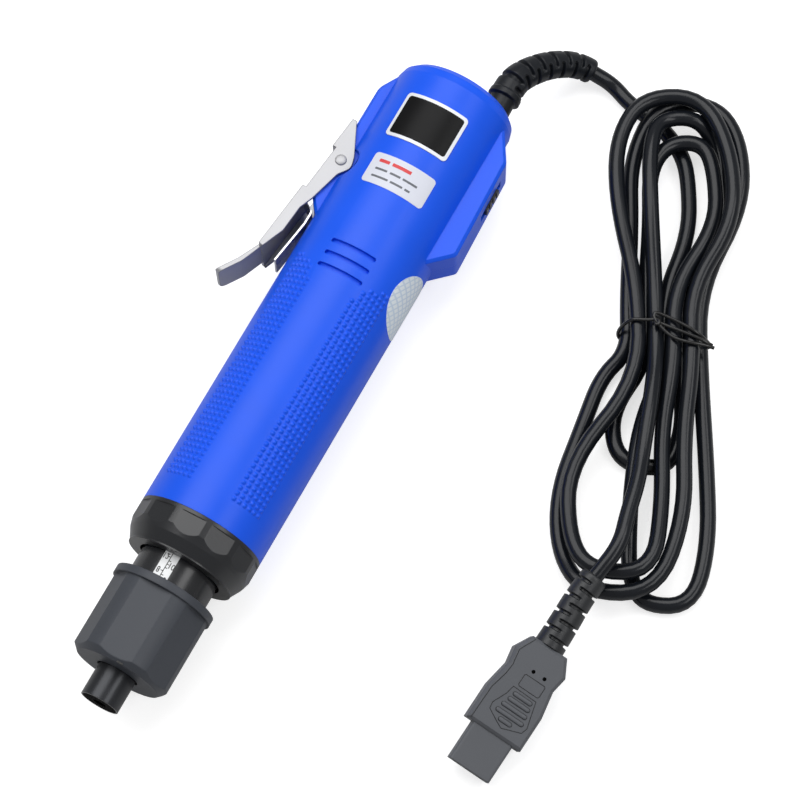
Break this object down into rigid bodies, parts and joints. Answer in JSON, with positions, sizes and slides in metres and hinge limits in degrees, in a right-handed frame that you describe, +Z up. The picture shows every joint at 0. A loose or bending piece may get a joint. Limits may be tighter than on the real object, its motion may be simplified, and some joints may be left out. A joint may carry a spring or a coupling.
{
  "type": "electric screwdriver",
  "caption": "Corded in-line electric screwdriver with a lever start, a torque nut on a scaled neck, a bit socket, a reverse switch and a tied cord with a plug.",
  "frame": {"origin": "centre of the bit socket's mouth, on the spindle axis", "axes": "+X out of the bit socket along the spindle, +Z up out of the front shell as the tool lies, lever on -Y"},
  "size_m": [0.2621, 0.1788, 0.04],
  "materials": {
    "blue_plastic": "satin moulded",
    "black_plastic": "satin moulded",
    "white_plastic": "smooth",
    "grey_plastic": "fine matte",
    "dark_steel": "black oxide",
    "bare_steel": "bright",
    "polished_steel": "polished",
    "motor_metal": "plated",
    "board_green": "lacquered",
    "cord_black": "smooth gloss",
    "boot_rubber": "matte",
    "tie_black": "gloss",
    "plug_grey": "matte moulded",
    "contact_brass": "bright"
  },
  "bodies": {
    "housing": {"front_shell": "blue_plastic", "rear_shell": "blue_plastic", "front_cover": "black_plastic", "clutch_case": "black_plastic", "scale_strip": "white_plastic", "ring_gear": "bare_steel", "motor": "motor_metal", "circuit_board": "board_green", "start_switch": "black_plastic", "brake_relay": "black_plastic", "reverse_switch": "black_plastic", "lever_pin": "bare_steel", "strain_relief": "boot_rubber", "cord_lead": "cord_black", "cord_hank": "cord_black", "cord_tail": "cord_black", "hank_tie": "tie_black", "plug_strain_relief": "boot_rubber", "plug_body": "plug_grey", "plug_nose": "plug_grey", "plug_contacts": "contact_brass"},
    "spindle": {"spindle": "dark_steel"},
    "bit_sleeve": {"bit_sleeve": "dark_steel", "sleeve_spring": "bare_steel"},
    "clutch_plate": {"clutch_plate": "bare_steel"},
    "output_carrier": {"output_carrier": "bare_steel"},
    "planet_1": {"planet_1": "bare_steel"},
    "planet_2": {"planet_2": "bare_steel"},
    "planet_3": {"planet_3": "bare_steel"},
    "motor_pinion": {"motor_pinion": "bare_steel"},
    "thrust_washer": {"thrust_washer": "bare_steel", "clutch_spring": "bare_steel"},
    "torque_nut": {"torque_nut": "grey_plastic"},
    "start_lever": {"start_lever": "polished_steel", "lever_spring": "bare_steel"},
    "start_plunger": {"start_plunger": "white_plastic"},
    "reverse_knob": {"reverse_knob": "black_plastic"}
  },
  "joints": [
    {"name": "spindle_spin", "type": "hinge", "parent": "housing", "child": "spindle", "pos_m": [0, 0, 0], "axis": [1, 0, 0], "continuous": true},
    {"name": "sleeve_slide", "type": "slide", "parent": "spindle", "child": "bit_sleeve", "axis": [1, 0, 0], "range_m": [-0.0025, 0], "stiffness_N_per_m": 800, "springref_m": 0.003, "deforming": ["sleeve_spring"]},
    {"name": "clutch_slip", "type": "slide", "parent": "spindle", "child": "clutch_plate", "axis": [1, 0, 0], "range_m": [0, 0.0016], "stiffness_N_per_m": 4000, "springref_m": -0.002, "deforming": ["clutch_spring"]},
    {"name": "carrier_spin", "type": "hinge", "parent": "housing", "child": "output_carrier", "pos_m": [0, 0, 0], "axis": [1, 0, 0], "continuous": true},
    {"name": "pinion_spin", "type": "hinge", "parent": "housing", "child": "motor_pinion", "pos_m": [0, 0, 0], "axis": [1, 0, 0], "continuous": true},
    {"name": "planet_1_spin", "type": "hinge", "parent": "output_carrier", "child": "planet_1", "pos_m": [-0.0653, 0.00882, 0], "axis": [1, 0, 0], "continuous": true},
    {"name": "planet_2_spin", "type": "hinge", "parent": "output_carrier", "child": "planet_2", "pos_m": [-0.0653, -0.00441, 0.00764], "axis": [1, 0, 0], "continuous": true},
    {"name": "planet_3_spin", "type": "hinge", "parent": "output_carrier", "child": "planet_3", "pos_m": [-0.0653, -0.00441, -0.00764], "axis": [1, 0, 0], "continuous": true},
    {"name": "washer_slide", "type": "slide", "parent": "housing", "child": "thrust_washer", "axis": [1, 0, 0], "range_m": [-0.0045, 0.0015], "deforming": ["clutch_spring"]},
    {"name": "nut_turn", "type": "hinge", "parent": "thrust_washer", "child": "torque_nut", "pos_m": [0, 0, 0], "axis": [1, 0, 0], "range_deg": [-1080, 360]},
    {"name": "lever_swing", "type": "hinge", "parent": "housing", "child": "start_lever", "pos_m": [-0.1821, -0.0202, 0], "axis": [0, 0, 1], "range_deg": [0, 8], "stiffness_Nm_per_rad": 0.6, "springref_deg": -3.44, "deforming": ["lever_spring"]},
    {"name": "plunger_slide", "type": "slide", "parent": "housing", "child": "start_plunger", "axis": [0, 1, 0], "range_m": [0, 0.0014]},
    {"name": "reverse_slide", "type": "slide", "parent": "housing", "child": "reverse_knob", "axis": [1, 0, 0], "range_m": [-0.0025, 0.0025]}
  ],
  "couplings": [
    {"joint": "carrier_spin", "follows": "spindle_spin", "ratio": 1},
    {"joint": "pinion_spin", "follows": "spindle_spin", "ratio": 3.5},
    {"joint": "planet_1_spin", "follows": "spindle_spin", "ratio": -3.3333},
    {"joint": "planet_2_spin", "follows": "spindle_spin", "ratio": -3.3333},
    {"joint": "planet_3_spin", "follows": "spindle_spin", "ratio": -3.3333},
    {"joint": "washer_slide", "follows": "nut_turn", "m_per_rad": 0.00023873},
    {"joint": "plunger_slide", "follows": "lever_swing", "m_per_rad": 0.01}
  ]
}
